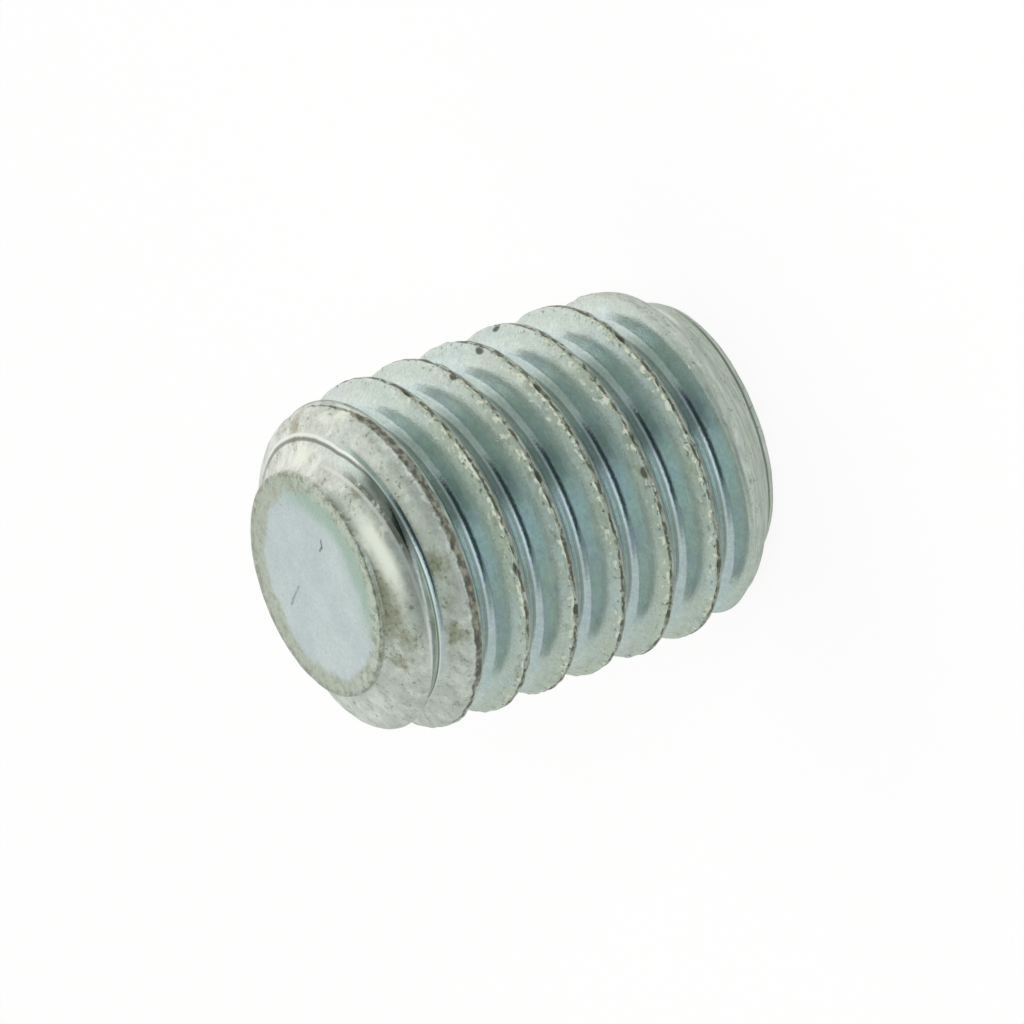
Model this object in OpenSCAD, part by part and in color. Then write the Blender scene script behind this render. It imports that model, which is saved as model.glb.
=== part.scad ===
// Grub set screw: metric coarse thread, flat point, hexagon socket.
// Millimetres. The screw stands on its socket end: z = 0 is the socket end's
// face, +Z runs along the axis towards the flat point.

/* [Thread] */
// Diameter over the thread crests
major_d = 7.88; // [7.76:0.01:8.00]
// Axial distance from one crest to the next
pitch = 1.25; // [1.00:0.05:1.50]
// Height of a crest above the socket end, on the -Y side of the screw
crest_z = 1.02; // [0.00:0.01:1.25]
// Width of the flat on a crest, measured along the axis
crest_w = 0.17; // [0.12:0.01:0.22]
// Radius of the fillet in the root
root_fillet = 0.26; // [0.16:0.01:0.30]

/* [Body] */
// Overall length
length = 10; // [8:1:16]
// Diameter of the flat point
point_d = 5.14; // [4.60:0.02:5.40]
// Length of the short straight land under the flat point
point_land = 0.22; // [0.12:0.01:0.40]
// Angle between the axis and the cone under the land
point_cone = 59; // [45:1:65]
// Depth below the point at which the crests reach their full height
point_swell = 2.5; // [2.0:0.1:2.7]
// Radius of the swell between the cone and the full crests
point_swell_r = 3.2; // [3.0:0.1:6.0]
// Diameter of the socket end's face
end_d = 5.95; // [5.60:0.05:6.30]
// Angle between the axis and the socket end's cone
end_cone = 40; // [35:1:50]
// Height above the socket end at which the crests reach their full height
end_swell = 2.4; // [2.0:0.1:2.8]
// Radius of the swell between the socket end's cone and the full crests
end_swell_r = 5.4; // [4.6:0.1:8.0]
// Rounding of the edges of both end faces
edge_r = 0.06; // [0.03:0.01:0.10]

/* [Socket] */
// Hexagon socket, across its flats
socket_af = 4.00; // [3.50:0.05:4.10]
// Depth of the socket's flat walls
socket_depth = 5.0; // [3.0:0.1:5.4]
// Width of the countersink round the socket's mouth
mouth_w = 0.14; // [0.05:0.01:0.20]

/* [Quality] */
// Thread facets in one turn
turn_steps = 72; // [48:4:76]

/* [Hidden] */

major_r = major_d / 2;
// The flanks stand at 60 degrees to each other and run into the root's fillet,
// which turns through this angle on each side of the root's middle
fillet_turn = 60;
flank_run = pitch / 2 - crest_w / 2 - root_fillet * sin(fillet_turn);
foot_r = major_r - flank_run / tan(30);
root_r = foot_r - root_fillet * (1 - cos(fillet_turn));

// Beyond its swells the blank clears the crests by this much
blank_clear = 0.03;
blank_r = major_r + blank_clear;
swell_steps = 8;
edge_steps = 3;

socket_r = socket_af / 2 / cos(30);
// The pilot hole is drilled slightly smaller than the hexagon's flats
pilot_r = 0.96 * socket_af / 2;
drill_tip = pilot_r * tan(31);
cut = 0.5;

// ---- thread ----------------------------------------------------------------
// One pitch of the outline, as [height, radius]: the two edges of a crest, and
// then the root's fillet above it, from the lower foot to the upper one.
function outline() = concat(
    [[-crest_w / 2, major_r], [crest_w / 2, major_r]],
    [
        for (a = [-fillet_turn : fillet_turn / 2 : fillet_turn])
            [pitch / 2 + root_fillet * sin(a), root_r + root_fillet * (1 - cos(a))]
    ]
);

// The screw thread is one closed skin. It is made of upright outlines, one at
// each step of a turn, and every outline stands a little higher than the one
// before it. After a full turn the skin joins on to itself one pitch up.
module thread_bar() {
    form = outline();
    in_pitch = len(form);
    first = -3;
    pitches = ceil(length / pitch) + 4;
    rows = pitches * in_pitch;
    // crest_z is measured on the -Y side, a quarter turn before angle 0
    base_z = crest_z + pitch / 4 + first * pitch;

    skin = [
        for (s = [0 : turn_steps - 1])
            let (a = 360 * s / turn_steps)
            for (row = [0 : rows - 1])
                let (p = form[row % in_pitch],
                     z = base_z + p[0] + pitch * (floor(row / in_pitch) + s / turn_steps))
                [p[1] * cos(a), p[1] * sin(a), z]
    ];
    foot = len(skin);
    tip = foot + 1;
    ends = [[0, 0, base_z], [0, 0, base_z + pitch * pitches]];

    function at(s, row) = s < turn_steps
        ? s * rows + row
        : row + in_pitch;

    walls = [
        for (s = [0 : turn_steps - 1])
            let (top = s < turn_steps - 1 ? rows - 2 : rows - 2 - in_pitch)
            for (row = [0 : top])
                each [
                    [at(s, row), at(s, row + 1), at(s + 1, row + 1)],
                    [at(s, row), at(s + 1, row + 1), at(s + 1, row)]
                ]
    ];
    // Fans close the two ends, and cover the one-pitch step that each end has
    foot_rim = concat(
        [for (s = [0 : turn_steps]) at(s, 0)],
        [for (row = [in_pitch - 1 : -1 : 0]) row]
    );
    tip_rim = concat(
        [for (s = [0 : turn_steps - 1]) at(s, rows - 1)],
        [for (row = [rows - 2 : -1 : rows - 1 - in_pitch]) at(turn_steps - 1, row)],
        [at(0, rows - 1)]
    );
    caps = concat(
        [for (i = [0 : len(foot_rim) - 2]) [foot, foot_rim[i], foot_rim[i + 1]]],
        [for (i = [0 : len(tip_rim) - 2]) [tip, tip_rim[i + 1], tip_rim[i]]]
    );
    polyhedron(points = concat(skin, ends), faces = concat(walls, caps));
}

// ---- blank -----------------------------------------------------------------
// Depth at which a cone runs into its swell. The cone starts at radius cone_r
// and depth land; the swell is an arc that touches the blank at depth swell.
function meet(cone_r, land, cone, swell, swell_r) =
    let (
        out = cone_r - (blank_r - swell_r),
        down = swell - land,
        half_b = out * tan(cone) - down,
        c = out * out + down * down - swell_r * swell_r,
        a = 1 + tan(cone) * tan(cone)
    )
    land + (sqrt(half_b * half_b - a * c) - half_b) / a;

// One end of the blank as [depth, radius], from the middle of its face out to
// its full radius: rounded edge, land, cone and swell.
function nose(face_r, land, cone, swell, swell_r) =
    let (
        corner_turn = land > 0 ? 90 : 90 - cone,
        edge_in = edge_r * tan(corner_turn / 2),
        rim = [
            for (i = [0 : edge_steps])
                let (a = corner_turn * i / edge_steps)
                [edge_r * (1 - cos(a)), face_r - edge_in + edge_r * sin(a)]
        ],
        depth = meet(face_r, land, cone, swell, swell_r),
        start = asin((swell - depth) / swell_r),
        rise = [
            for (i = [0 : swell_steps])
                let (a = start * (1 - i / swell_steps))
                [swell - swell_r * sin(a), blank_r - swell_r * (1 - cos(a))]
        ]
    )
    concat([[0, 0]], rim, land > 0 ? [[land, face_r]] : [], rise);

// The turned blank, a little thicker than the crests between its two noses
module blank() {
    end = nose(end_d / 2, 0, end_cone, end_swell, end_swell_r);
    point = nose(point_d / 2, point_land, point_cone, point_swell, point_swell_r);
    rotate_extrude($fn = 96)
        polygon(concat(
            [for (p = end) [p[1], p[0]]],
            [for (i = [len(point) - 1 : -1 : 0]) [point[i][1], length - point[i][0]]]
        ));
}

// ---- socket ----------------------------------------------------------------
// Hexagon with its drilled bottom and a countersunk mouth
module socket() {
    translate([0, 0, -cut])
        cylinder(h = socket_depth + cut, r = socket_r, $fn = 6);
    translate([0, 0, socket_depth])
        cylinder(h = drill_tip, r1 = pilot_r, r2 = 0, $fn = 48);
    translate([0, 0, -cut])
        cylinder(h = cut + mouth_w, r1 = socket_r + mouth_w + cut, r2 = socket_r, $fn = 48);
}

// ---- the screw -------------------------------------------------------------
module set_screw() {
    color([0.72, 0.77, 0.75])
        difference() {
            intersection() {
                thread_bar();
                blank();
            }
            socket();
        }
}

set_screw();
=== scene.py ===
# %% [markdown]
# # A grub set screw
# A grub screw is a screw without a head, made to be driven below the surface. It is cut from
# steel wire, a hexagon socket is punched in one end, and the thread is rolled over the whole
# length. This one is M8 x 1.25 x 10 with a flat point, and it is plated with zinc that was
# passivated to a pale blue-green.
#
# The lesson opens on the frame, a plain model that already has the true size. The looks are
# built around it: one mesh for the screw, one finish, a floor, a studio and a camera.

# %% The frame
import math

import bmesh
import bpy
import numpy as np
from mathutils import Matrix, Vector, noise


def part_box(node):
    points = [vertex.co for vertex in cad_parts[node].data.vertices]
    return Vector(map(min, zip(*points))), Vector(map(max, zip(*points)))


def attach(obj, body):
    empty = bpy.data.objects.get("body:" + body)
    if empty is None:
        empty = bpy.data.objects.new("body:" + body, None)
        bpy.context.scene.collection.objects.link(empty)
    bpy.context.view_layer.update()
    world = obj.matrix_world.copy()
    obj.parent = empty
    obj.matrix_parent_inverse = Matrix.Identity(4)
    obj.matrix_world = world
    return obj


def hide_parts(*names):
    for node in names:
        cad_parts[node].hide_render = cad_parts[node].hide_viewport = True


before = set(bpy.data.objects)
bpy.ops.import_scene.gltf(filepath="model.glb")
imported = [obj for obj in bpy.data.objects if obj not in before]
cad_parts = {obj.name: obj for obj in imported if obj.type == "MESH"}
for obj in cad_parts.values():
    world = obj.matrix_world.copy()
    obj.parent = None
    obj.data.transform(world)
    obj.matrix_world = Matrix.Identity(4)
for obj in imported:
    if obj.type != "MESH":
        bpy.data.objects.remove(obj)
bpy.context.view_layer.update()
low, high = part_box("set_screw")
TO_MM = 1000
MAJOR_R = high.x * TO_MM
LENGTH = high.z * TO_MM
print(f"frame: thread {2 * MAJOR_R:.2f} mm over its crests, from z {low.z:.2f} to {LENGTH:.2f} mm")

# %% [markdown]
# ## A few bench helpers
# Modelling is done as by hand, with operators that act on what is selected. Loading the frame
# leaves its node selected, so the bench is cleared before each job. The work is done in
# millimetres, because the operators' own limits for "close enough" suit a part that is a few
# units across. A late step brings it to metres.

# %% Bench helpers


def clear_bench():
    """Back to object mode with nothing selected."""
    if bpy.context.mode != "OBJECT":
        bpy.ops.object.mode_set(mode="OBJECT")
    bpy.ops.object.select_all(action="DESELECT")


def put_on_bench(piece):
    """Makes piece the only selected object."""
    clear_bench()
    piece.select_set(True)
    bpy.context.view_layer.objects.active = piece


def apply_modifier(piece, name):
    """Makes a modifier's result the mesh itself."""
    put_on_bench(piece)
    bpy.ops.object.modifier_apply(modifier=name)


print("bench: clear, and the tools are laid out")

# %% [markdown]
# ## The thread's outline
# A rolled thread has flanks at 60 degrees to each other, and the die leaves them very slightly
# full. Its root is a wide fillet, because the die's ridges are rounded. Its crest is where the
# metal of the two flanks met as it was squeezed up between the die's ridges, so it has two
# rounded lips with a fine seam between them. The outline of one pitch is worked out as a few
# arcs and lines, so its proportions can be changed at the top.

# %% Sizes of the thread
PITCH = 1.25
CREST_Z = 1.02          # height of a crest on the -Y side, above the socket end
FLANK = math.radians(30)
FULLNESS = 0.018        # how far the middle of a flank stands out of the straight line
LIP_R = 0.060           # rounding from flank to crest
CREST_HALF = 0.085      # from the middle of the crest to the corner under its rounding
SEAM_DEEP = 0.050       # depth of the seam between the two lips
SEAM_FORM = ((0.5, 0.3), (0.0, 1.0))    # each point: share of the way out, share of the depth
ROOT_R = 0.26           # radius of the fillet in the root
ROOT_STEPS = 5
FLANK_STEPS = 4
LIP_STEPS = 4
print(f"thread: pitch {PITCH} mm, {LENGTH / PITCH:.0f} turns in the length")

# %% The outline of one pitch


def half_outline():
    """From the middle of the root up to the middle of the crest: (height, radius) points."""
    arc_end = math.pi / 2 - FLANK
    rise_z = PITCH / 2 - ROOT_R * math.sin(arc_end) - CREST_HALF
    foot_r = MAJOR_R - rise_z / math.tan(FLANK)
    root_r = foot_r - ROOT_R * (1 - math.cos(arc_end))
    points = []
    for i in range(ROOT_STEPS + 1):
        a = arc_end * i / ROOT_STEPS
        points.append((-PITCH / 2 + ROOT_R * math.sin(a), root_r + ROOT_R * (1 - math.cos(a))))
    cut_back = LIP_R * math.tan(arc_end / 2)
    foot = Vector(points[-1])
    corner = Vector((-CREST_HALF, MAJOR_R))
    up = (corner - foot).normalized()
    out = Vector((-up.y, up.x))
    lip_start = corner - up * cut_back
    for i in range(1, FLANK_STEPS + 1):
        share = i / FLANK_STEPS
        bulge = out * FULLNESS * 4 * share * (1 - share)
        points.append(tuple(foot.lerp(lip_start, share) + bulge))
    for i in range(1, LIP_STEPS + 1):
        a = arc_end * (1 - i / LIP_STEPS)
        points.append((-CREST_HALF + cut_back - LIP_R * math.sin(a),
                       MAJOR_R - LIP_R * (1 - math.cos(a))))
    side = points[-1][0]
    for share, deep in SEAM_FORM:
        points.append((side * share, MAJOR_R - SEAM_DEEP * deep))
    return points


rising = half_outline()
outline = rising + [(-z, r) for z, r in reversed(rising[:-1])]
ROOT_RADIUS = min(r for z, r in outline)
print(f"outline: {len(outline)} points, root radius {ROOT_RADIUS:.3f} mm")

# %% [markdown]
# ## Sweeping the outline into a screw
# A single point is extruded along the outline in the plane of the X axis, and the Screw
# modifier then turns it about Z and lifts it one pitch each turn. The start height is chosen
# so that a crest passes the -Y side at the frame's height: the thread looks the same from
# every side, but its run-outs don't.

# %% The swept thread
TURN_STEPS = 324
TURNS = 10
WELD = 0.002            # points closer than this become one
CLOSE = 1e-4            # heights that differ by less are the same
first_crest = CREST_Z + PITCH / 4 - 2 * PITCH

clear_bench()
bpy.ops.mesh.primitive_plane_add(size=1)
screw = bpy.context.object
screw.name = "grub_screw"
bpy.ops.object.mode_set(mode="EDIT")
bpy.ops.mesh.select_all(action="SELECT")
bpy.ops.mesh.merge(type="CENTER")
bpy.ops.transform.translate(value=(outline[0][1], 0, first_crest + outline[0][0]))
for (z0, r0), (z1, r1) in zip(outline, outline[1:]):
    step = {"value": (r1 - r0, 0, z1 - z0)}
    bpy.ops.mesh.extrude_region_move(TRANSFORM_OT_translate=step)
bpy.ops.object.mode_set(mode="OBJECT")

turning = screw.modifiers.new("turns", "SCREW")
turning.axis = "Z"
turning.angle = 2 * math.pi
turning.steps = TURN_STEPS
turning.render_steps = TURN_STEPS
turning.screw_offset = PITCH
turning.iterations = TURNS
turning.use_merge_vertices = False
apply_modifier(screw, "turns")
bpy.ops.object.mode_set(mode="EDIT")
bpy.ops.mesh.select_all(action="SELECT")
bpy.ops.mesh.remove_doubles(threshold=WELD)
print(f"swept: {len(bmesh.from_edit_mesh(screw.data).verts)} points")

# %% [markdown]
# ## The blank under the thread
# Before the thread was rolled the blank had a cone at each end, and its ends were a little
# slimmer than its middle. The thread can't fill where there is no metal, so its crests get
# lower towards both ends and the last ones fade out over the cones. The blank's radius is
# written as a function of height: a cone and a gentle swell, joined by a soft minimum that
# leaves no sharp corner. A short straight land stands between the flat point and its cone.

# %% The blank's radius
POINT_R = 2.57          # flat point
POINT_LAND = 0.22       # straight land under the flat point
POINT_CONE = math.radians(59)
POINT_SLIM = 1.55       # how far the swell would fall short at the very end
POINT_SLIM_LONG = 0.715 # and how far from the end that fades to a third
END_R = 2.975           # face of the socket end
END_CONE = math.radians(40)
END_SLIM = 0.68
END_SLIM_LONG = 0.90
MELT = 0.05             # width of the soft change where the thread meets the blank
POINT_SOFT = 0.15       # the same between the point's cone and its swell
LAND_SOFT = 0.08        # between its land and its cone
END_SOFT = 0.12         # and between the socket end's cone and its swell


def soft_min(a, b, width):
    """The lower of two values, with a rounded change from one to the other."""
    h = np.clip(0.5 + 0.5 * (b - a) / width, 0, 1)
    return b + (a - b) * h - width * h * (1 - h)


def soft_max(a, b, width):
    """The higher of two values, with a rounded change."""
    return -soft_min(-a, -b, width)


def blank_radius(z):
    """Radius of the blank at height z, with the cones and swells of both ends."""
    deep = LENGTH - z
    cone = POINT_R + (deep - POINT_LAND) * math.tan(POINT_CONE)
    swell = MAJOR_R + MELT - POINT_SLIM * np.exp(-deep / POINT_SLIM_LONG)
    at_point = soft_max(POINT_R, soft_min(cone, swell, POINT_SOFT), LAND_SOFT)
    cone = END_R + z * math.tan(END_CONE)
    swell = MAJOR_R + MELT - END_SLIM * np.exp(-z / END_SLIM_LONG)
    at_end = soft_min(cone, swell, END_SOFT)
    return np.minimum(at_point, at_end)


for z in (0, 0.5, 1, 5, 9, 9.5, LENGTH):
    print(f"blank at {z:5.2f} mm: radius {blank_radius(z):.3f} mm")

# %% [markdown]
# ## Metal that flows
# Rolling cuts nothing away: metal pressed out of the groove rises beside it. On the cones,
# where the thread is only half formed, this shows as a low ridge and a shallow dip that go on
# round the helix. The push is a cosine across the thread, let in and out over each end. The
# flat point and its cone also sit a little off the thread's axis, each its own way.

# %% The thread's own coordinates


def step_up(value, start, end):
    """0 at start and 1 at end, with a soft beginning and end."""
    t = np.clip((value - start) / (end - start), 0, 1)
    return t * t * (3 - 2 * t)


def on_thread(places):
    """For each point: turns climbed along the thread, and distance across from its crest."""
    angle = np.arctan2(places[:, 1], places[:, 0]) + math.pi / 2
    climbed = (places[:, 2] - CREST_Z) / PITCH - angle / (2 * math.pi) + 0.5
    across = (climbed - np.floor(climbed) - 0.5) * PITCH
    turns = (places[:, 2] - CREST_Z - across) / PITCH
    return turns, across


turns, across = on_thread(np.array([(0.0, -MAJOR_R, LENGTH)]))
print(f"at the top of the -Y side: {turns[0]:.0f} turns up, {across[0]:.2f} mm off the crest")

# %% Flow
POINT_FLOW = 0.19       # height of the ridge on the point's cone
END_FLOW = 0.13         # and on the socket end's cone
FACE_ASIDE = Vector((0.01, 0.075))      # where the middle of the flat point lies
CONE_ASIDE = Vector((-0.04, -0.035))    # and the middle of its cone


def flow(places):
    """How far the blank's surface is pushed outwards at each point."""
    turns, across = on_thread(places)
    angle = np.arctan2(places[:, 1], places[:, 0])
    deep = LENGTH - places[:, 2]
    wave = np.cos(2 * math.pi * across / PITCH)
    # Each step goes from one distance to another, in millimetres from the nearer end
    at_point = POINT_FLOW * step_up(deep, 0.12, 0.42) * step_up(deep, 1.28, 0.62)
    at_end = END_FLOW * step_up(places[:, 2], 0.9, 0.15)
    round_face = FACE_ASIDE.x * np.cos(angle) + FACE_ASIDE.y * np.sin(angle)
    round_cone = CONE_ASIDE.x * np.cos(angle) + CONE_ASIDE.y * np.sin(angle)
    aside = round_face * step_up(deep, 0.45, 0.10)
    aside += round_cone * step_up(deep, 0.10, 0.45) * step_up(deep, 1.6, 0.6)
    return wave * (at_point + at_end) + aside


print(f"flow: the point sits {FACE_ASIDE.length:.3f} mm off the axis")

# %% [markdown]
# ## Turning the two ends
# The swept mesh is cut flat just inside both ends with bisect. Each point that stands outside
# the blank is then brought in to it. The soft minimum lets the thread melt into the cone over
# a few hundredths of a millimetre, so no sharp edge is left where it runs out. The points are
# moved all at once, as rows of numbers, because there are tens of thousands of them.

# %% Points as rows


def points_of(piece, kind="co"):
    """The mesh's points, or their normals, as rows of x, y, z."""
    source = piece.data.vertices if kind == "co" else piece.data.vertex_normals
    found = np.zeros(len(piece.data.vertices) * 3)
    source.foreach_get("co" if kind == "co" else "vector", found)
    return found.reshape(-1, 3)


def move_points(piece, places):
    """Puts the mesh's points at new places."""
    piece.data.vertices.foreach_set("co", places.ravel())
    piece.data.update()


print("points can be read and moved as rows")

# %% Both ends cut and chamfered
POINT_CUT = LENGTH - 0.34
END_CUT = 0.16

for height, outward in ((POINT_CUT, 1), (END_CUT, -1)):
    bpy.ops.mesh.select_all(action="SELECT")
    bpy.ops.mesh.bisect(plane_co=(0, 0, height), plane_no=(0, 0, outward),
                        clear_outer=True, threshold=1e-5)
bpy.ops.object.mode_set(mode="OBJECT")

places = points_of(screw)
radius = np.hypot(places[:, 0], places[:, 1])
pushed = flow(places)
turned = soft_min(radius, blank_radius(places[:, 2]) + pushed, MELT) - pushed
for height in (POINT_CUT, END_CUT):
    turned = np.where(abs(places[:, 2] - height) < CLOSE, blank_radius(height), turned)
places[:, :2] *= (turned / radius)[:, None]
move_points(screw, places)
print(f"turned: {len(places)} points, radius {turned.min():.2f} to {turned.max():.3f} mm")

# %% [markdown]
# ## The flat point
# The open edge that bisect left is extruded in rings: down the rest of the cone, over the
# land, round its small edge, and over the face to a little ring that is filled and poked. The
# edge is picked by where it lies, and each ring is scaled to the radius for its height.

# %% Picking an edge and drawing rings


def pick_edges(piece, wanted):
    """Selects the edges, in edit mode, for which wanted(edge) is true."""
    bpy.ops.mesh.select_mode(type="EDGE")
    bpy.ops.mesh.select_all(action="DESELECT")
    mesh = bmesh.from_edit_mesh(piece.data)
    for edge in mesh.edges:
        if wanted(edge):
            edge.select_set(True)
    bmesh.update_edit_mesh(piece.data)


def middle(edge):
    """The point halfway along an edge."""
    return (edge.verts[0].co + edge.verts[1].co) / 2


def draw_rings(piece, at_height, start_radius, rings):
    """Extrudes the open edge at a height through (height, radius) rings, and leaves the last."""
    pick_edges(piece, lambda e: e.is_boundary and abs(middle(e).z - at_height) < CLOSE)
    z, r = at_height, start_radius
    for ring_z, ring_r in rings:
        bpy.ops.mesh.extrude_region_move(TRANSFORM_OT_translate={"value": (0, 0, ring_z - z)})
        bpy.ops.transform.resize(value=(ring_r / r, ring_r / r, 1), center_override=(0, 0, 0))
        z, r = ring_z, ring_r


print("rings can be drawn from an open edge")

# %% The point's rings
POINT_EDGE = 0.05       # rounding of the flat point's edge
POINT_EDGE_STEPS = 4
LAND_DEPTHS = (0.30, 0.26, 0.22, 0.18, 0.13, 0.09)
FACE_RINGS = 16

point_rings = []
for deep in LAND_DEPTHS:
    point_rings.append((LENGTH - deep, float(blank_radius(LENGTH - deep))))
for i in range(POINT_EDGE_STEPS + 1):
    a = math.pi / 2 * i / POINT_EDGE_STEPS
    point_rings.append((LENGTH - POINT_EDGE * (1 - math.sin(a)),
                        POINT_R - POINT_EDGE * (1 - math.cos(a))))
face_edge = point_rings[-1][1]
for i in range(1, FACE_RINGS + 1):
    point_rings.append((LENGTH, face_edge * (1 - i / (FACE_RINGS + 0.5))))

put_on_bench(screw)
bpy.ops.object.mode_set(mode="EDIT")
draw_rings(screw, POINT_CUT, float(blank_radius(POINT_CUT)), point_rings)
bpy.ops.mesh.edge_face_add()
bpy.ops.mesh.poke()
print(f"point: {len(point_rings)} rings, flat to radius {face_edge:.2f} mm")

# %% [markdown]
# ## The socket end
# The socket is punched cold with a hexagon punch after a hole is drilled, so its floor still
# holds the drill's cone. The end's open edge is ringed in over the face as far as a circle
# just outside the hexagon. The next ring is moved onto the hexagon, and straight walls go up
# from it to a floor, and from there to the tip of the cone.

# %% The socket's sizes
SOCKET_AF = 4.0         # across its flats
SOCKET_DEEP = 5.0
MOUTH_W = 0.14          # width and depth of the countersink
END_EDGE = 0.04         # rounding of the end's edge
END_EDGE_STEPS = 3
CHAMFER_RINGS = (0.12, 0.08, END_EDGE)  # their heights
MOUTH_RINGS = 4
WALL_RINGS = 8
TIP_RINGS = 5
PILOT_R = 0.96 * SOCKET_AF / 2          # drilled hole, a little inside the flats
DRILL_TIP = math.radians(118 / 2)       # half the angle of the drill's tip
CORNER_R = SOCKET_AF / 2 / math.cos(math.radians(30))
mouth_r = CORNER_R + MOUTH_W
cone_high = PILOT_R / math.tan(DRILL_TIP)
print(f"socket: mouth radius {mouth_r:.2f} mm, drill's cone {cone_high:.2f} mm high")

# %% Rings of the end's face
end_rings = [(z, float(blank_radius(z))) for z in CHAMFER_RINGS]
for i in range(1, END_EDGE_STEPS + 1):
    a = math.pi / 2 * i / END_EDGE_STEPS
    end_rings.append((END_EDGE * (1 - math.sin(a)), END_R - END_EDGE * (1 - math.cos(a))))
end_flat = end_rings[-1][1]
for i in range(1, MOUTH_RINGS + 1):
    end_rings.append((0.0, end_flat + (mouth_r - end_flat) * i / MOUTH_RINGS))
draw_rings(screw, END_CUT, float(blank_radius(END_CUT)), end_rings)
print(f"socket end: {len(end_rings)} rings")

# %% The socket


def shape_ring(piece, height, reach_at):
    """Moves the selected ring's points along their radii, each to the radius for its angle."""
    mesh = bmesh.from_edit_mesh(piece.data)
    for v in mesh.verts:
        if v.select and abs(v.co.z - height) < CLOSE:
            v.co.xy = v.co.xy.normalized() * reach_at(math.atan2(v.co.y, v.co.x))
    bmesh.update_edit_mesh(piece.data)


def hexagon_reach(angle):
    """The socket's radius at an angle, least in the middle of a flat."""
    sector = math.radians(60)
    return SOCKET_AF / 2 / math.cos(angle % sector - sector / 2)


def raise_ring(height_change):
    """Extrudes the selected ring straight up."""
    bpy.ops.mesh.extrude_region_move(TRANSFORM_OT_translate={"value": (0, 0, height_change)})


raise_ring(MOUTH_W)
shape_ring(screw, MOUTH_W, hexagon_reach)
for i in range(WALL_RINGS):
    raise_ring((SOCKET_DEEP - MOUTH_W) / WALL_RINGS)
raise_ring(0)
shape_ring(screw, SOCKET_DEEP, lambda angle: PILOT_R)
for left in range(TIP_RINGS, 0, -1):
    raise_ring(cone_high / (TIP_RINGS + 1))
    shrink = left / (left + 1)
    bpy.ops.transform.resize(value=(shrink, shrink, 1), center_override=(0, 0, 0))
bpy.ops.mesh.edge_face_add()
bpy.ops.mesh.poke()
print(f"socket: {SOCKET_AF:.0f} mm across flats, {SOCKET_DEEP:.0f} mm deep")

# %% Closing the mesh
bpy.ops.mesh.select_all(action="SELECT")
bpy.ops.mesh.remove_doubles(threshold=WELD)
bpy.ops.mesh.normals_make_consistent(inside=False)
bpy.ops.object.mode_set(mode="OBJECT")
print(f"closed: {len(screw.data.polygons)} faces, {len(screw.data.vertices)} points")

# %% [markdown]
# ## Letting the metal flow
# The whole outside is now pushed by the flow worked out above. On both faces the push dies
# away towards the middle, so they stay flat and only their edges leave the round. The socket
# keeps its size, and everything stays inside the crests' cylinder.

# %% The flow
places = points_of(screw)
radius = np.hypot(places[:, 0], places[:, 1])
reach = step_up(radius, mouth_r, END_R - END_EDGE)
reach = np.where(places[:, 2] > LENGTH / 2, np.minimum(radius / POINT_R, 1), reach)
socket = (radius < mouth_r + CLOSE) & (places[:, 2] < LENGTH - 1)
reach = np.where(socket, 0, reach)
moved = radius + flow(places) * reach
moved = np.minimum(moved, MAJOR_R)
places[:, :2] *= (moved / np.maximum(radius, 1e-6))[:, None]
move_points(screw, places)
print(f"flow: moved by up to {abs(moved - radius).max():.3f} mm")

# %% [markdown]
# ## Small unevenness
# Real plated steel is never quite true. Its flanks wave by a few thousandths of a millimetre,
# which is enough to bend what they reflect. Its crests are lumpy, since the two lips of
# squeezed metal meet unevenly, and the soft cones carry the marks of tumbling. Noise gives
# each of these its own size along and across the thread. Handling has also left small nicks
# along the crests. Every lump only goes inwards on the crests, so the screw still passes its
# ring gauge.

# %% Sizes of the wear
ONE_TURN = 2 * math.pi * MAJOR_R        # length of one turn along the crest
FLANK_WAVE = 0.006
CREST_LUMP = 0.030
LIP_SWAY = 0.016        # how far the crest wanders up and down
CONE_DENT = 0.007
NICK_DEEP = 0.035
NICK_R = 0.075          # across the thread, and twice this along it
# Each nick: turns climbed along the thread, and distance across from the crest's middle
NICKS = ((2.23, 0.11), (3.18, 0.11), (4.15, 0.06), (5.15, 0.00), (3.10, 0.00),
         (1.12, -0.02), (4.02, -0.04), (1.99, 0.06), (1.01, -0.21), (3.89, -0.04),
         (0.88, -0.04), (1.84, -0.03), (4.95, 0.04), (6.12, -0.05))


def lumps(coordinates, size, shift=0):
    """Noise from -1 to 1 with lumps of about that size, at each row of coordinates."""
    away = Vector((shift, 2 * shift, 0))
    return np.array([noise.noise(Vector(row) / size + away) for row in coordinates])


print(f"wear: one turn of thread is {ONE_TURN:.2f} mm long")

# %% Waves, lumps and nicks
places = points_of(screw)
normals = points_of(screw, "normal")
radius = np.hypot(places[:, 0], places[:, 1])
turns, across = on_thread(places)
run = turns * ONE_TURN
formed = step_up(radius, ROOT_RADIUS - 0.05, ROOT_RADIUS) * (places[:, 2] < POINT_CUT - 0.2)
on_crest = formed * step_up(abs(across), 0.17, 0.09)
outside = np.where((radius < mouth_r + 0.05) & (places[:, 2] < LENGTH - 1), 0, 1)

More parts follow.
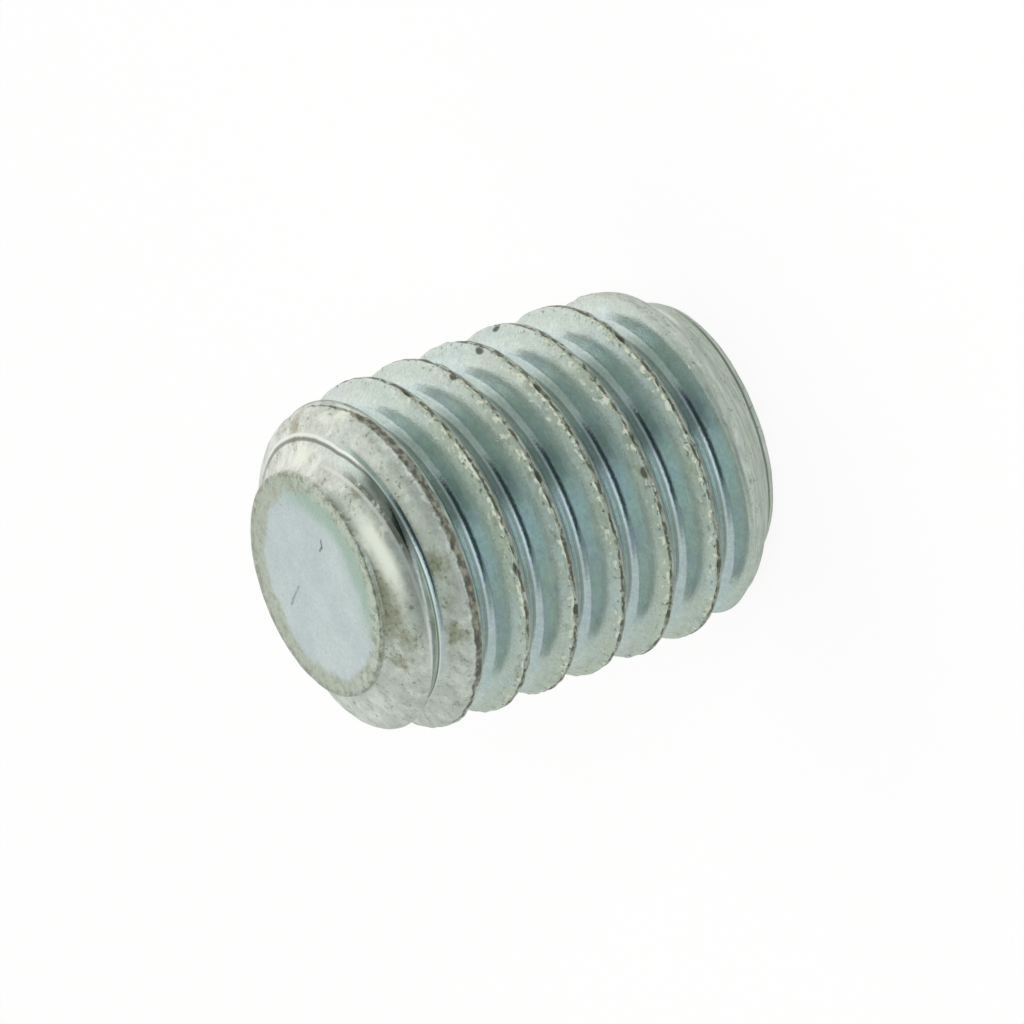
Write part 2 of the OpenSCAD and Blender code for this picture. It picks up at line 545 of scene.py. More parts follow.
on_ribbon = np.stack([run * 0.45, across * 1.6, 0 * run], 1)
sink = CREST_LUMP * on_crest * np.clip(0.35 + lumps(on_ribbon, 0.16), 0, 1)
wave = FLANK_WAVE * lumps(places, 1.5) + 0.3 * FLANK_WAVE * lumps(places, 0.4)
wave += (1 - formed) * CONE_DENT * (lumps(places, 0.45, 7) + 0.5 * lumps(places, 0.16, 3))
sway = LIP_SWAY * on_crest * lumps(np.stack([run, 0 * run, 0 * run], 1), 0.4, 11)
for turn, aside in NICKS:
    far = np.hypot((turns - turn) * ONE_TURN / 2, across - aside)
    sink += NICK_DEEP * np.exp(-(far / NICK_R) ** 2)
places += normals * (outside * (wave - sink))[:, None]
places[:, 2] = np.clip(places[:, 2] + outside * sway, 0, LENGTH)
radius = np.hypot(places[:, 0], places[:, 1])
places[:, :2] *= (np.minimum(radius, MAJOR_R) / np.maximum(radius, 1e-6))[:, None]
move_points(screw, places)
print(f"wear: {len(NICKS)} nicks, crests sunk by up to {sink.max():.3f} mm")

# %% To metres
put_on_bench(screw)
bpy.ops.object.shade_smooth()
screw.scale = (1 / TO_MM,) * 3
bpy.ops.object.transform_apply(location=True, rotation=True, scale=True)
print(f"screw: {screw.dimensions.z * TO_MM:.2f} mm long, now in metres")

# %% [markdown]
# ## Writing a finish as sums
# A finish is worked out from where a point lies on the thread: how far along it, how far
# across it, and how far from the axis. Each value is a socket of a shader node. The small
# class below lets such sockets be added and multiplied in plain Python, and each sum then
# adds its Math node. Any other node comes from one method of a recipe, which takes the node's
# type, its settings and its inputs.

# %% Sockets in sums


class Wire:
    """A shader socket that can stand in a sum."""

    def __init__(self, recipe, socket):
        self.recipe = recipe
        self.socket = socket

    def maths(self, operation, *others):
        return self.recipe.node("ShaderNodeMath", {"operation": operation},
                                dict(enumerate((self, *others))))

    def __add__(self, other):
        return self.maths("ADD", other)

    def __mul__(self, other):
        return self.maths("MULTIPLY", other)

    def __sub__(self, other):
        return self.maths("SUBTRACT", other)

    def __rsub__(self, other):
        return self.recipe.node("ShaderNodeMath", {"operation": "SUBTRACT"}, {0: other, 1: self})

    def __truediv__(self, other):
        return self.maths("DIVIDE", other)

    def __abs__(self):
        return self.maths("ABSOLUTE")

    def ramp(self, low, high):
        """0 at low and 1 at high, with a soft start and end."""
        return self.recipe.node("ShaderNodeMapRange", {"interpolation_type": "SMOOTHSTEP"},
                                {0: self, 1: low, 2: high, 3: 0.0, 4: 1.0})

    def band(self, low, high, soft):
        """1 from low to high, and 0 beyond soft on either side."""
        return self.ramp(low - soft, low) * self.ramp(high + soft, high)

    def highest(self, other):
        return self.maths("MAXIMUM", other)


print("sockets can be added, multiplied and ramped")

# %% Nodes of a recipe


class Recipe:
    """The nodes of one material or of the studio."""

    def __init__(self, owner):
        owner.use_nodes = True
        self.tree = owner.node_tree

    def node(self, kind, settings=None, inputs=None, out=0):
        made = self.tree.nodes.new(kind)
        for name, value in (settings or {}).items():
            setattr(made, name, value)
        for key, value in (inputs or {}).items():
            if isinstance(value, Wire):
                self.tree.links.new(value.socket, made.inputs[key])
            else:
                made.inputs[key].default_value = value
        return Wire(self, made.outputs[out])

    def feed(self, shader, name, wire):
        self.tree.links.new(wire.socket, shader.inputs[name])

    def blend(self, share, first, second):
        """A colour between two colours."""
        pair = [c if isinstance(c, Wire) else (*c, 1) for c in (first, second)]
        return self.node("ShaderNodeMix", {"data_type": "RGBA"},
                         {0: share, 6: pair[0], 7: pair[1]}, out=2)

    def shade(self, colour, factor):
        """A colour made lighter or darker by a factor."""
        return self.node("ShaderNodeVectorMath", {"operation": "SCALE"}, {0: colour, 3: factor})

    def vector(self, x, y, z):
        return self.node("ShaderNodeCombineXYZ", {}, {0: x, 1: y, 2: z})

    def split(self, vector):
        made = self.node("ShaderNodeSeparateXYZ", {}, {0: vector})
        return [Wire(self, made.socket.node.outputs[i]) for i in range(3)]

    def mottle(self, place, size, detail=3.0, roughness=0.55):
        """Noise with blotches of about that size in millimetres, from 0 to 1."""
        return self.node("ShaderNodeTexNoise", {"noise_dimensions": "3D"},
                         {"Vector": place, "Scale": 1 / size, "Detail": detail,
                          "Roughness": roughness})


print("recipes can blend, shade and mottle")

# %% The screw's material
zinc = bpy.data.materials.new("passivated_zinc")
recipe = Recipe(zinc)
shader = zinc.node_tree.nodes["Principled BSDF"]
print("material", zinc.name, "started")

# %% [markdown]
# ## Where a point lies on the thread
# The thread is a ribbon wound round the axis, so two numbers say where a point is on it. One
# counts the turns. The other is the distance across the ribbon from the middle of its crest.
# Both come from the height and from the angle round the axis. `in_root` is the same distance,
# but measured from the middle of the groove. From here on x, y, z, across and along are
# sockets in millimetres. Dirt and wear follow the thread, so most of the noise is drawn out
# along it.

# %% Thread coordinates
coordinates = recipe.node("ShaderNodeTexCoord", out="Object")
place = recipe.node("ShaderNodeVectorMath", {"operation": "SCALE"},
                    {0: coordinates, 3: float(TO_MM)})
x, y, z = recipe.split(place)
from_axis = (x * x + y * y).maths("SQRT")
round_it = y.maths("ARCTAN2", x) / (2 * math.pi) + 0.25
climbed = (z - CREST_Z) / PITCH - round_it + 0.5
across = (climbed.maths("FRACT") - 0.5) * PITCH
in_root = ((climbed + 0.5).maths("FRACT") - 0.5) * PITCH
turn_no = (z - CREST_Z - across) / PITCH
along = turn_no * ONE_TURN
print("thread coordinates: turns, across and along")

# %% Noise that follows the thread


def on_ribbon(pull, size, detail=3.0, roughness=0.55, squeeze=1.0):
    """Mottle on the thread: pull under 1 draws it out along it, squeeze over 1 narrows it."""
    where = recipe.vector(along * pull, across * squeeze, from_axis)
    return recipe.mottle(where, size, detail, roughness)


wander = (on_ribbon(0.7, 0.15, squeeze=0.4) - 0.5) * 0.15
edge_place = across + wander
islands = on_ribbon(0.65, 0.13, 2.0)
print("noise: uneven edges and islands")

# %% [markdown]
# ## Parts of the surface
# A mask is a value that is 1 on one part of the screw and 0 elsewhere. Rolling squeezes the
# metal up into two lips that meet on the crest, so the crest has a near lip, a far lip and a
# ragged seam between them. The soft noise called `wander` makes their edges uneven. `dull`
# gathers every place where the bright film is gone.

# %% Crest masks
threaded = turn_no.ramp(6.62, 6.5)
# Worn metal and painted glints: the near lip's cream islands are partly highlights, so they are
# wider on the +X side and fainter towards its edge.
lip_width = x.ramp(0.5, 1.9) * x.ramp(3.7, 3.0) * 0.11 + 0.09
near_lip_and_glint = (islands + (lip_width * 0.55 - edge_place) * 1.6).ramp(0.44, 0.53)
near_lip_and_glint = near_lip_and_glint * edge_place.ramp(-0.03, 0.01) * threaded * (1 - x.ramp(2.9, 3.7) * 0.5)
far_lip = edge_place.band(-0.27, -0.02, 0.05) * threaded
seam_gaps = on_ribbon(0.6, 0.16, 2.0, 0.6)
seam = abs(edge_place + 0.018).ramp(0.038, 0.013) * seam_gaps.ramp(0.46, 0.54) * threaded
print("crest masks: near lip, far lip and seam")

# %% Other masks
front = y.ramp(-1.0, -2.4)
point_zone = z.ramp(LENGTH - 0.06, LENGTH - 0.03)
last_turn = turn_no.ramp(0.42, 0.30) * across.ramp(0.26, 0.12)
end_zone = z.ramp(0.95, 0.45).highest(last_turn) * from_axis.ramp(2.5, 2.6)
first_turn = turn_no.ramp(5.42, 5.66) * across.ramp(-0.16, -0.10)
cone = z.ramp(8.95, 9.07) * turn_no.ramp(6.0, 6.1)
groove = abs(in_root).ramp(0.17, 0.12) * z.ramp(8.4, 8.6) * z.ramp(9.55, 9.45) * front
dull = first_turn.highest(cone).highest(end_zone) * (1 - groove)
print("other masks: flat point, both cones, first turn and its groove")

# %% [markdown]
# ## The flanks
# The passivated film over bright zinc tints it: bluer in the root where it is thick, and greener
# near the crest where it was rubbed thin. On the +X side the root is painted a deep teal, a
# painted shade that dims what it mirrors of a bright part of the tent. Fine grain and soft clouds
# keep any of it from looking like one flat colour, and handling has left brown stains close to
# the crests.

# %% Flank colour
BLUE = (0.53, 0.645, 0.675)
LAVENDER = (0.52, 0.60, 0.72)
TEAL = (0.56, 0.65, 0.615)
GREEN = (0.57, 0.65, 0.565)
ROOT_SHADE_TEAL = (0.43, 0.53, 0.505)
drift = recipe.mottle(place, 1.4, 2.0)
cloud = on_ribbon(0.6, 0.45, 3.0, 0.6)
colour = recipe.blend(across.ramp(0.28, 0.46), TEAL, BLUE)
by_crest = across.ramp(0.30, 0.12) * across.ramp(-0.3, 0.0) * x.ramp(3.4, 1.6)
colour = recipe.blend(by_crest * cloud.ramp(0.35, 0.55), colour, GREEN)
colour = recipe.blend(drift.ramp(0.45, 0.65) * across.ramp(-0.25, -0.10) * 0.6, colour, BLUE)
by_root = across.ramp(0.24, 0.42) * cloud.ramp(0.48, 0.62) * front
colour = recipe.blend(by_root * 0.7, colour, LAVENDER)
# Painted shade: the root on the +X side is darkened to a deep teal, so that it mirrors less of a
# bright part of the tent.
root_side_shade = across.ramp(0.36, 0.48) * x.ramp(0.9, 2.0)
colour = recipe.blend(root_side_shade * 0.85, colour, ROOT_SHADE_TEAL)
print("flanks: five tints")

# %% Grain, stains and painted shade in the root
STAIN = (0.27, 0.28, 0.20)
grain = recipe.mottle(place, 0.07, 3.0, 0.65)
streaks = on_ribbon(0.25, 0.09, 2.0)
blots = recipe.mottle(place, 0.19, 3.0, 0.6)
colour = recipe.shade(colour, grain * 0.5 + streaks * 0.24 + blots * 0.30 + 0.49)
handled = on_ribbon(0.45, 0.20, 3.0, 0.62)
stain = handled.ramp(0.52, 0.66) * edge_place.band(0.06, 0.16, 0.14) * threaded
colour = recipe.blend(stain * x.ramp(3.6, 2.4) * 0.36, colour, STAIN)
# Painted shade: a dark line along the middle of the root, on the front side only.
root_shade_line = abs(in_root - 0.005).ramp(0.055, 0.025) * z.ramp(9.0, 8.7) * z.ramp(0.9, 1.2)
colour = recipe.shade(colour, 1 - root_shade_line * front * 0.45)
print("flanks: grain, stains and the dark line in the root")

# %% [markdown]
# ## The crests
# The near lip is worn to pale, cream islands, which are also painted glints: their width and
# strength change round the screw as a highlight's would. The far lip is duller, grey with fine
# streaks that run along the thread. Dirt sits in the seam between them and in the pits.

# %% Crest colour
FAR_DARK = (0.17, 0.19, 0.16)
FAR_PALE = (0.50, 0.53, 0.49)
LIP_DULL = (0.48, 0.51, 0.40)
CREAM_AND_GLINT = (0.82, 0.86, 0.75)
SEAM_DIRT = (0.09, 0.09, 0.06)
far_wear = on_ribbon(0.16, 0.07, 3.0, 0.6, squeeze=1.2)
far_colour = recipe.blend(far_wear.ramp(0.38, 0.62), FAR_DARK, FAR_PALE)
colour = recipe.blend(far_lip * edge_place.ramp(-0.36, -0.12) * 0.85, colour, far_colour)
lip_and_glint_colour = recipe.blend(islands.ramp(0.50, 0.62), LIP_DULL, CREAM_AND_GLINT)
colour = recipe.blend(near_lip_and_glint * 0.92, colour, lip_and_glint_colour)
colour = recipe.blend(seam * 0.85, colour, SEAM_DIRT)
print("crests: near lip, far lip and seam coloured")

# %% Specks and nicks
SPECK = (0.055, 0.055, 0.035)
dark_spots = on_ribbon(0.8, 0.10, 2.0, 0.5)
specks = dark_spots.ramp(0.59, 0.70) * abs(edge_place).ramp(0.20, 0.09) * threaded * 0.8
for turn, aside in NICKS:
    ahead = (turn_no - turn) * ONE_TURN
    beside = across - aside
    far = (ahead * ahead * 0.25 + beside * beside * 1.7).maths("SQRT") + wander * 0.45
    specks = specks.highest(far.ramp(0.100, 0.050) * 0.95)
colour = recipe.blend(specks * 0.92, colour, SPECK)
print("crests:", len(NICKS), "nicks coloured")

# %% [markdown]
# ## The dull cones
# Tumbling rubs the ends of a small screw hardest. The cones and the run-out of the thread are
# matt and pale, with brown stains and tiny dark specks. A few bright patches and a strip on the
# front are painted highlights, and so is a pale line along the cone's edge at the groove. Dirt
# lies beside that edge.

# %% Cone colour
CONE_DULL = (0.59, 0.63, 0.60)
CONE_PALE = (0.73, 0.77, 0.74)
CONE_STAIN = (0.38, 0.39, 0.32)
CONE_SPECK = (0.24, 0.24, 0.18)
patch = recipe.mottle(place, 0.55, 3.0, 0.6)
fine = recipe.mottle(place, 0.11, 3.0, 0.65)
smear = recipe.mottle(place, 0.30, 4.0, 0.7)
stained = smear.ramp(0.46, 0.66)
pale = recipe.blend(patch.ramp(0.40, 0.62), CONE_DULL, CONE_PALE)
pale = recipe.blend(stained * 0.40, pale, CONE_STAIN)
pale = recipe.blend((fine + stained * 0.09).ramp(0.62, 0.72) * 0.70, pale, CONE_SPECK)
pale = recipe.shade(pale, grain * 0.5 + blots * 0.2 + 0.68)
print("cones: pale, stained and speckled")

# %% Spots on a cone


def spot(centre, size, ragged):
    """A soft blot of that size about a point, with an uneven edge."""
    away = recipe.node("ShaderNodeVectorMath", {"operation": "DISTANCE"}, {0: place, 1: centre},
                       out="Value")
    uneven = away + (blots - 0.5) * size * ragged
    return uneven.ramp(size, size * 0.1)


def on_cone(degrees, radius, height):
    """The point at that angle from the front, at a radius and a height."""
    angle = math.radians(degrees)
    return (radius * math.sin(angle), -radius * math.cos(angle), height)


print("spots can be set on a cone")

# %% Painted highlights and dirty places
# Each spot: degrees from the front, radius, height, size
HIGHLIGHT_SPOTS = ((77, 2.80, 9.55, 0.50), (12, 2.75, 9.73, 0.64), (62, 3.67, 8.85, 0.40))
DIRTY = ((-50, 2.85, 9.69, 0.40), (-36, 2.92, 9.63, 0.44), (88, 3.35, 9.22, 0.40),
         (-35, 3.53, 8.73, 0.46), (-8, 3.45, 8.85, 0.40), (32, 2.95, 9.55, 0.26))
DIRT = (0.36, 0.36, 0.26)
DIRT_SPECK = (0.19, 0.19, 0.13)
HIGHLIGHT_WHITE = (0.96, 0.98, 0.89)
dirt = across.band(0.03, 0.24, 0.08) * x.ramp(-2.0, -1.4) * x.ramp(0.0, -0.6) * cone * front
dirt = dirt * (smear.ramp(0.30, 0.52) * 0.5 + 0.5)
for *where, size in DIRTY:
    dirt = dirt.highest(spot(on_cone(*where), size, 2.0))
pale = recipe.blend(dirt * 0.80, pale, DIRT)
pale = recipe.blend(dirt * fine.ramp(0.50, 0.62) * 0.55, pale, DIRT_SPECK)
# Painted highlights: bright patches on the cones and a strip along the groove on the front.
painted_highlight = abs(across + 0.09).ramp(0.16, 0.02) * x.ramp(-1.3, -0.1) * x.ramp(1.2, 0.6) * front
for *where, size in HIGHLIGHT_SPOTS:
    painted_highlight = painted_highlight.highest(spot(on_cone(*where), size, 1.5))
painted_highlight = painted_highlight * cone.highest(first_turn)
pale = recipe.blend(painted_highlight * 0.95, pale, HIGHLIGHT_WHITE)
print("cones:", len(HIGHLIGHT_SPOTS), "rubbed and", len(DIRTY), "dirty places")

# %% First turn's crest
BROWN_DARK = (0.065, 0.065, 0.05)
BROWN_PALE = (0.30, 0.30, 0.23)
middle_part = y.ramp(-1.6, -2.8)
wide_here = middle_part * 0.085 + 0.035
crest_band = (wide_here - abs(edge_place + middle_part * 0.05 + 0.02)).ramp(-0.02, 0.03)
crest_band = crest_band * turn_no.ramp(5.55, 5.75) * threaded
brown = recipe.blend(islands.ramp(0.42, 0.62), BROWN_DARK, BROWN_PALE)
pale = recipe.blend(crest_band * 0.9, pale, brown)
print("first turn: brown crest")

# %% Edge of the last groove
EDGE_DIRT = (0.17, 0.18, 0.14)
EDGE_HIGHLIGHT = (0.86, 0.89, 0.87)
ragged = in_root + (blots - 0.5) * 0.10
side_on = x.ramp(-0.8, 0.4) * x.ramp(2.2, 1.6)
above_turn = z.ramp(8.9, 9.0)
cone_edge = ragged.band(0.13, 0.24, 0.03) * z.ramp(9.9, 9.7) * above_turn * side_on
pale = recipe.blend(cone_edge * smear.ramp(0.34, 0.48) * 0.85, pale, EDGE_DIRT)
# Painted highlight: a pale line along the cone's rounded edge at the groove, on the front.
cone_edge_highlight = in_root.band(0.25, 0.29, 0.02) * front * z.ramp(9.7, 9.6) * above_turn
pale = recipe.blend(cone_edge_highlight * 0.7, pale, EDGE_HIGHLIGHT)
colour = recipe.blend(dull, colour, pale)
print("last groove: a dirty edge and a bright one")

# %% Painted shade and highlight lines in the groove
GROOVE_TOP = 9.33       # above this height the lines leave the groove and turn aside
GROOVE_SHADE = (0.12, 0.13, 0.11)
GROOVE_HIGHLIGHT = (0.82, 0.85, 0.82)
in_shade = in_root.band(0.03, 0.14, 0.025) * above_turn * z.ramp(9.45, 9.3) * side_on
colour = recipe.shade(colour, 1 - in_shade * 0.62)
over_top = (z - in_root - GROOVE_TOP).highest(0.0)
line_place = in_root + over_top
lined = z.ramp(8.7, 8.9) * z.ramp(9.6, 9.5) * over_top.ramp(0.30, 0.20)
# Painted shade and a painted highlight: a dark line in the groove with a bright one beside it,
# drawn on past where the groove ends.
groove_shade_line = abs(line_place).ramp(0.028, 0.010) * lined
colour = recipe.blend(groove_shade_line * 0.75, colour, GROOVE_SHADE)
groove_highlight_line = abs(line_place + 0.045).ramp(0.022, 0.008) * lined
colour = recipe.blend(groove_highlight_line * 0.85, colour, GROOVE_HIGHLIGHT)
print("groove: a dark line and a bright one")

# %% Socket end's chamfer
TURNED_DARK = (0.52, 0.57, 0.52)
TURNED_PALE = (0.67, 0.72, 0.67)
TURNED_SPECK = (0.20, 0.21, 0.16)
RIM_DIRT = (0.13, 0.15, 0.12)
turning_lines = recipe.mottle(recipe.vector(along * 0.12, z * 1.3, from_axis), 0.09, 3.0, 0.6)
chamfer = recipe.blend(turning_lines.ramp(0.40, 0.60), TURNED_DARK, TURNED_PALE)
chamfer = recipe.blend((fine + stained * 0.08).ramp(0.62, 0.69) * 0.6, chamfer, TURNED_SPECK)
rim_line = abs(z - 0.16).ramp(0.045, 0.020) * front
chamfer = recipe.blend(rim_line * 0.8, chamfer, RIM_DIRT)
colour = recipe.blend(end_zone * (1 - near_lip_and_glint * 0.9) * (1 - seam * 0.6), colour, chamfer)
print("socket end: fine turned lines and a dark one")

# %% [markdown]
# ## The flat point
# The face was cropped from the bar and then tumbled. Its middle is smooth and faintly blue.
# Its rim is dull, grainy and of uneven width. A greener crescent inside the rim on the front
# side is a painted reflection of a shallow dish that the flat face doesn't have. Two short
# scratches cross the middle, each drawn as two straight strokes.

# %% Rim and middle
rim_sway = (recipe.mottle(place, 0.8, 3.0, 0.6) - 0.5) * 0.62
back_side = (y * 0.80 - x * 0.60).ramp(0.5, 2.2)
right_side = (y * 0.60 + x * 0.80).ramp(0.8, 2.0)
rim_place = from_axis + rim_sway + back_side * 0.12 + right_side * 0.13
rim = rim_place.ramp(2.06, 2.30)
# Painted reflection: a greener crescent inside the rim on the front side, where a shallow dish
# would mirror the tent.
facing = y * -0.94 + x * 0.34
crescent = rim_place.ramp(1.45, 1.95) * facing.ramp(0.4, 1.6)
blotch = recipe.mottle(place, 0.16, 4.0, 0.7)
print("flat point: masks of the rim and the crescent")

# %% Flat point colour
MIDDLE_BLUE = (0.56, 0.63, 0.65)
MIDDLE_PALE = (0.61, 0.68, 0.69)
CRESCENT_REFLECTION = (0.40, 0.52, 0.45)
RIM_PALE = (0.56, 0.60, 0.52)
RIM_BROWN = (0.29, 0.31, 0.23)
RIM_SIDE = (0.43, 0.45, 0.36)
RIM_SPECK = (0.18, 0.18, 0.13)
plateau = recipe.blend(drift.ramp(0.4, 0.6), MIDDLE_BLUE, MIDDLE_PALE)
plateau = recipe.blend(crescent, plateau, CRESCENT_REFLECTION)
rim_colour = recipe.blend(blotch.ramp(0.42, 0.64), RIM_PALE, RIM_BROWN)
rim_colour = recipe.blend(back_side.highest(right_side) * 0.6, rim_colour, RIM_SIDE)
plateau = recipe.blend(rim * 0.85, plateau, rim_colour)
rim_specks = blotch.ramp(0.64, 0.72) * rim_place.ramp(1.5, 2.0)
plateau = recipe.blend(rim_specks * 0.7, plateau, RIM_SPECK)
plateau = recipe.shade(plateau, grain * 0.45 + blots * 0.16 + 0.70)
print("flat point: middle, crescent and rim")

# %% Scratches
# Each stroke: x and y of both its ends, and how dark it is
STROKES = ((0.87, -0.93, 0.70, -0.84, 0.9), (0.72, -0.86, 0.66, -0.70, 0.8),
           (0.10, 0.80, -0.04, 1.12, 0.40), (-0.04, 1.12, -0.21, 1.46, 0.5))
SCRATCH = (0.14, 0.17, 0.15)
WORN_EDGE = (0.22, 0.23, 0.18)
for x1, y1, x2, y2, darkness in STROKES:
    reach = math.hypot(x2 - x1, y2 - y1)
    ux, uy = (x2 - x1) / reach, (y2 - y1) / reach
    down = (x - x1) * ux + (y - y1) * uy
    off = abs((x - x1) * uy - (y - y1) * ux + (blots - 0.5) * 0.10)
    scratch = down.band(0.0, reach, 0.03) * off.ramp(0.045, 0.015)
    plateau = recipe.blend(scratch * darkness, plateau, SCRATCH)
colour = recipe.blend(point_zone, colour, plateau)
worn_edge = (from_axis + (blots - 0.5) * 0.10).band(2.47, 2.56, 0.03) * z.ramp(9.86, 9.93)
colour = recipe.blend(worn_edge * blotch.ramp(0.38, 0.58) * 0.50, colour, WORN_EDGE)
print("flat point:", len(STROKES), "strokes of two scratches, and a worn edge")

# %% [markdown]
# ## The finish goes on
# Bare film is a smooth metal. Worn crests, stains and cones are rougher and less metallic,
# because there the light meets oxide and dirt. A little bump gives the grain a tooth.

# %% Feeding the shader
TOOTH_DEEP = 0.013
recipe.feed(shader, "Base Color", colour)
painted = near_lip_and_glint.highest(far_lip * 0.9).highest(specks).highest(painted_highlight)
near_crest = across.ramp(0.36, 0.18) * across.ramp(-0.05, 0.02) * threaded
matte = dull.highest(point_zone * rim)
roughness = matte * 0.20 + painted * 0.22 + near_crest * 0.14 + grain * 0.06 + 0.12
recipe.feed(shader, "Roughness", roughness)
covered = (matte * 0.28).highest(painted * 0.85).highest(near_crest * 0.42)
recipe.feed(shader, "Metallic", 1 - covered)
tooth = recipe.mottle(place, 0.05, 3.0, 0.6)
bump = recipe.node("ShaderNodeBump", {}, {"Strength": 0.35, "Distance": TOOTH_DEEP / TO_MM,
                                          "Height": tooth + patch * matte})
recipe.feed(shader, "Normal", bump)
screw.data.materials.clear()
screw.data.materials.append(zinc)
print(f"zinc: {len(zinc.node_tree.nodes)} nodes")

# %% To the library
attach(screw, "root")
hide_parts("set_screw")
print("the screw rides root and stands for set_screw")
# %% [markdown]
# ## A floor that only the eye sees white
# The screw stands on pale paper. To the eye the paper glows almost white, and a small share
# of ordinary paper is left in it so that it keeps the screw's soft shadow. The glow is a
# little over 1, to make up for that share, and the sum stays just under white. A polished
# part mirrors its floor, and the real one lay among the pale walls of a light tent. So rays
# that come off the metal pass through the paper and find the tent's own tones below.

# %% Floor
GLOW = 1.04
GLOW_SHARE = 0.85       # the rest is lit paper

clear_bench()
bpy.ops.mesh.primitive_plane_add(size=4)
floor = bpy.context.object
floor.name = "floor"
paper = bpy.data.materials.new("paper")
paper_recipe = Recipe(paper)
paper_shader = paper.node_tree.nodes["Principled BSDF"]
paper_shader.inputs["Base Color"].default_value = (0.92, 0.92, 0.92, 1)
paper_shader.inputs["Roughness"].default_value = 0.9
lit = Wire(paper_recipe, paper_shader.outputs[0])
seen = paper_recipe.node("ShaderNodeLightPath", out="Is Camera Ray")
mirrored = paper_recipe.node("ShaderNodeLightPath", out="Is Glossy Ray")
through = paper_recipe.node("ShaderNodeLightPath", out="Is Transmission Ray")
glow = paper_recipe.node("ShaderNodeEmission", {}, {"Color": (1, 1, 1, 1), "Strength": GLOW})
clear = paper_recipe.node("ShaderNodeBsdfTransparent")
mixed = paper_recipe.node("ShaderNodeMixShader", {}, {0: seen * GLOW_SHARE, 1: lit, 2: glow})
off_metal = mirrored.highest(through)
mixed = paper_recipe.node("ShaderNodeMixShader", {}, {0: off_metal, 1: mixed, 2: clear})
paper_output = paper.node_tree.nodes["Material Output"]
paper_recipe.feed(paper_output, "Surface", mixed)
floor.data.materials.append(paper)
print("floor: white to the eye, clear to the metal")

# %% [markdown]
# ## The light tent
# Bright metal has hardly any colour of its own: it shows what stands round it. The tent has
# pale walls, a dimmer roof, one bright side, and a dark card high at the front. The card gives
# the threads their dark bands, and a bright strip under it draws a fine line beside each band.
# One patch of the roof, over the back, is lit more brightly. Every tone has a window of
# directions, in degrees. Azimuth is 0 at the front and grows towards +X, and elevation is 0 at
# the horizon.

# %% Directions
world = bpy.data.worlds.new("studio")
bpy.context.scene.world = world
studio = Recipe(world)
sight = studio.node("ShaderNodeTexCoord", out="Generated")
dx, dy, dz = studio.split(sight)
azimuth = dx.maths("ARCTAN2", 0 - dy) * (180 / math.pi)
elevation = dz.maths("ARCSINE") * (180 / math.pi)


def window(az_from, az_to, el_from, el_to, soft):
    """1 inside a window of directions, and 0 outside its soft edge."""
    return azimuth.band(az_from, az_to, soft) * elevation.band(el_from, el_to, soft)


print("studio: directions ready")

# %% Walls, cards and strip
TONES = {
    "bright side": ((104, 162, -22, 52, 14), (1.14, 1.10, 1.05)),
    "dim side": ((42, 78, -34, 48, 12), (0.49, 0.53, 0.48)),
    "low card": ((6, 38, -38, 12, 8), (0.32, 0.36, 0.335)),
    "pale foot": ((-42, 2, -50, -18, 10), (0.72, 0.80, 0.80)),
    "bright strip": ((-38, -4, -9, 8, 5), (0.88, 0.95, 0.94)),
    "grey card": ((-66, -42, 14, 50, 9), (0.33, 0.39, 0.36)),
    "overhead lamp": ((146, 180, 62, 82, 8), (1.25, 1.26, 1.20)),
    "dark card, left": ((-40, 0, 16, 52, 6), (0.045, 0.075, 0.075)),
    "dark card, right": ((0, 36, 14, 52, 6), (0.035, 0.055, 0.050)),
}
light = studio.blend(elevation.ramp(48, 66), (0.70, 0.72, 0.67), (0.45, 0.50, 0.43))
light = studio.blend(elevation.ramp(-34, -50), light, (0.67, 0.71, 0.66))
behind = abs(azimuth).ramp(156, 168) * elevation.band(5, 50, 10)
light = studio.blend(behind, light, (0.88, 0.92, 0.90))
for limits, tone in TONES.values():
    light = studio.blend(window(*limits), light, tone)
to_the_eye = studio.node("ShaderNodeLightPath", out="Is Camera Ray")
light = studio.blend(to_the_eye, light, (1, 1, 1))
background = world.node_tree.nodes["Background"]
studio.feed(background, "Color", light)
background.inputs["Strength"].default_value = 1.0
print("studio:", ", ".join(TONES))

# %% [markdown]
# ## A soft lamp
# The dull cones and the worn crests don't mirror the tent but are lit by it. The tent alone
# leaves them a little under the plain level at which a colour looks as it was written, and
# one wide lamp above the front makes up the rest. It isn't mirrored, so it leaves no spot.

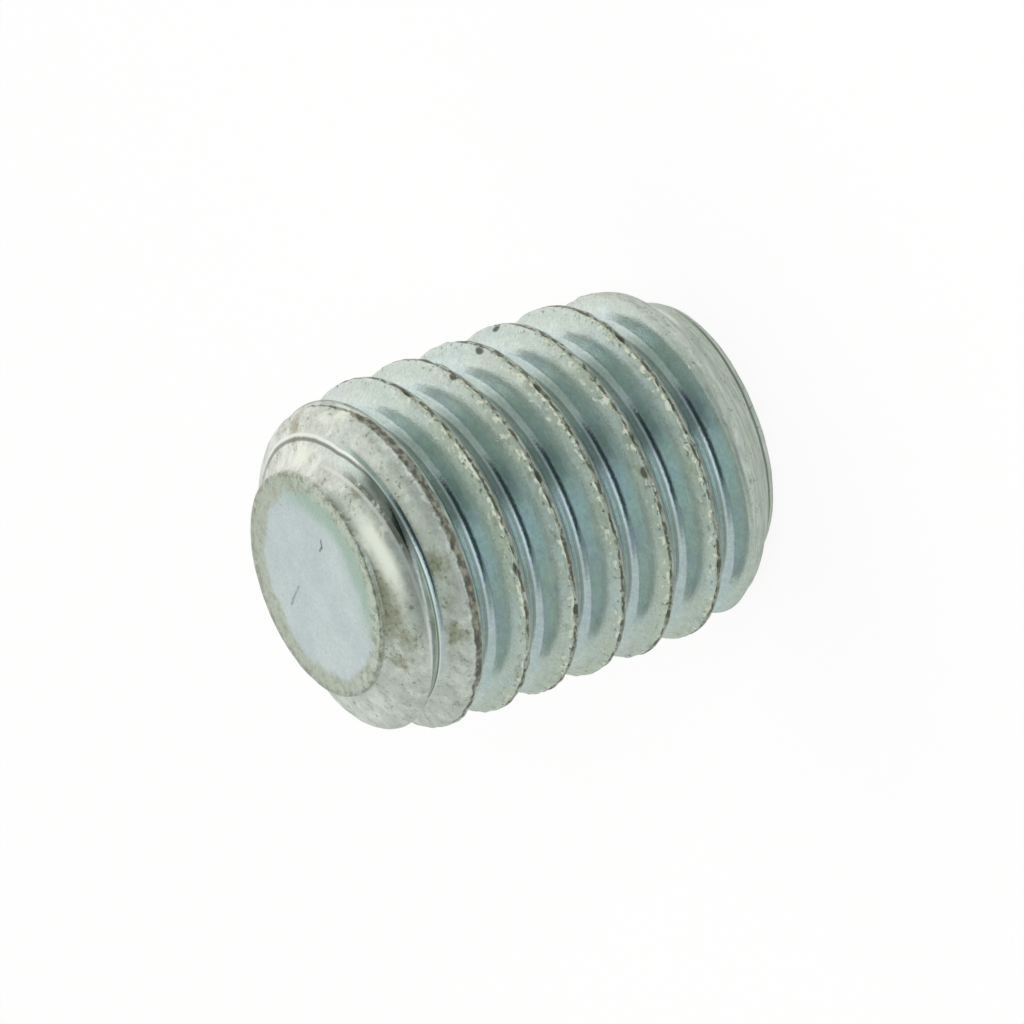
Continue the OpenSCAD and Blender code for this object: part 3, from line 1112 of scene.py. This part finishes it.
# %% Lamp
LAMP_FAR = 0.4
lamp_data = bpy.data.lights.new("soft_lamp", "AREA")
lamp_data.shape = "DISK"
lamp_data.size = 0.25
lamp_data.energy = 0.6
lamp = bpy.data.objects.new("soft_lamp", lamp_data)
bpy.context.scene.collection.objects.link(lamp)
lamp_way = Vector((0.12, -0.80, 0.58)).normalized()
lamp.location = lamp_way * LAMP_FAR
lamp.rotation_euler = lamp_way.to_track_quat("Z", "Y").to_euler()
lamp.visible_glossy = False
print(f"lamp: {lamp_data.energy:.1f} W, and not mirrored")

# %% [markdown]
# ## The camera
# The camera stands in front of the -Y side and looks down a little. It is rolled, so that the
# upright screw seems to lie across the picture with its flat point at the lower left. From
# that far away, with a long lens, the threads at both ends look the same size.

# %% Camera
VIEW_TILT = math.radians(27.5)
VIEW_TURN = math.radians(20.75)
DISTANCE = 0.5
SCALE = 45.94           # how large the screw stands in the picture
AIM_RIGHT = 0.0885      # how far beside the screw's middle the camera aims
AIM_UP = 0.0057
IMAGE = 1024
SENSOR = 36

towards = Vector((0, -math.cos(VIEW_TILT), math.sin(VIEW_TILT)))
axis_seen = Vector((-math.cos(VIEW_TILT) * math.cos(VIEW_TURN),
                    -math.cos(VIEW_TILT) * math.sin(VIEW_TURN), math.sin(VIEW_TILT)))
x_seen = Vector((-math.sin(VIEW_TURN), math.cos(VIEW_TURN), 0))
y_seen = axis_seen.cross(x_seen)
right = Vector((x_seen.x, y_seen.x, axis_seen.x))
above = Vector((x_seen.y, y_seen.y, axis_seen.y))
centre = Vector((0, 0, LENGTH / 2 / TO_MM))
aim = centre + right * AIM_RIGHT / TO_MM + above * AIM_UP / TO_MM

lens_data = bpy.data.cameras.new("camera")
camera = bpy.data.objects.new("camera", lens_data)
bpy.context.scene.collection.objects.link(camera)
bpy.context.scene.camera = camera
lens_data.sensor_width = SENSOR
lens_data.lens = SENSOR * DISTANCE * TO_MM * SCALE / IMAGE
lens_data.clip_start = 0.01
lens_data.clip_end = 10
turn = Matrix((right, above, towards)).transposed()
camera.matrix_world = Matrix.Translation(aim + towards * DISTANCE) @ turn.to_4x4()
bpy.context.scene.view_settings.view_transform = "Standard"
print(f"camera: a lens of {lens_data.lens:.0f} mm")
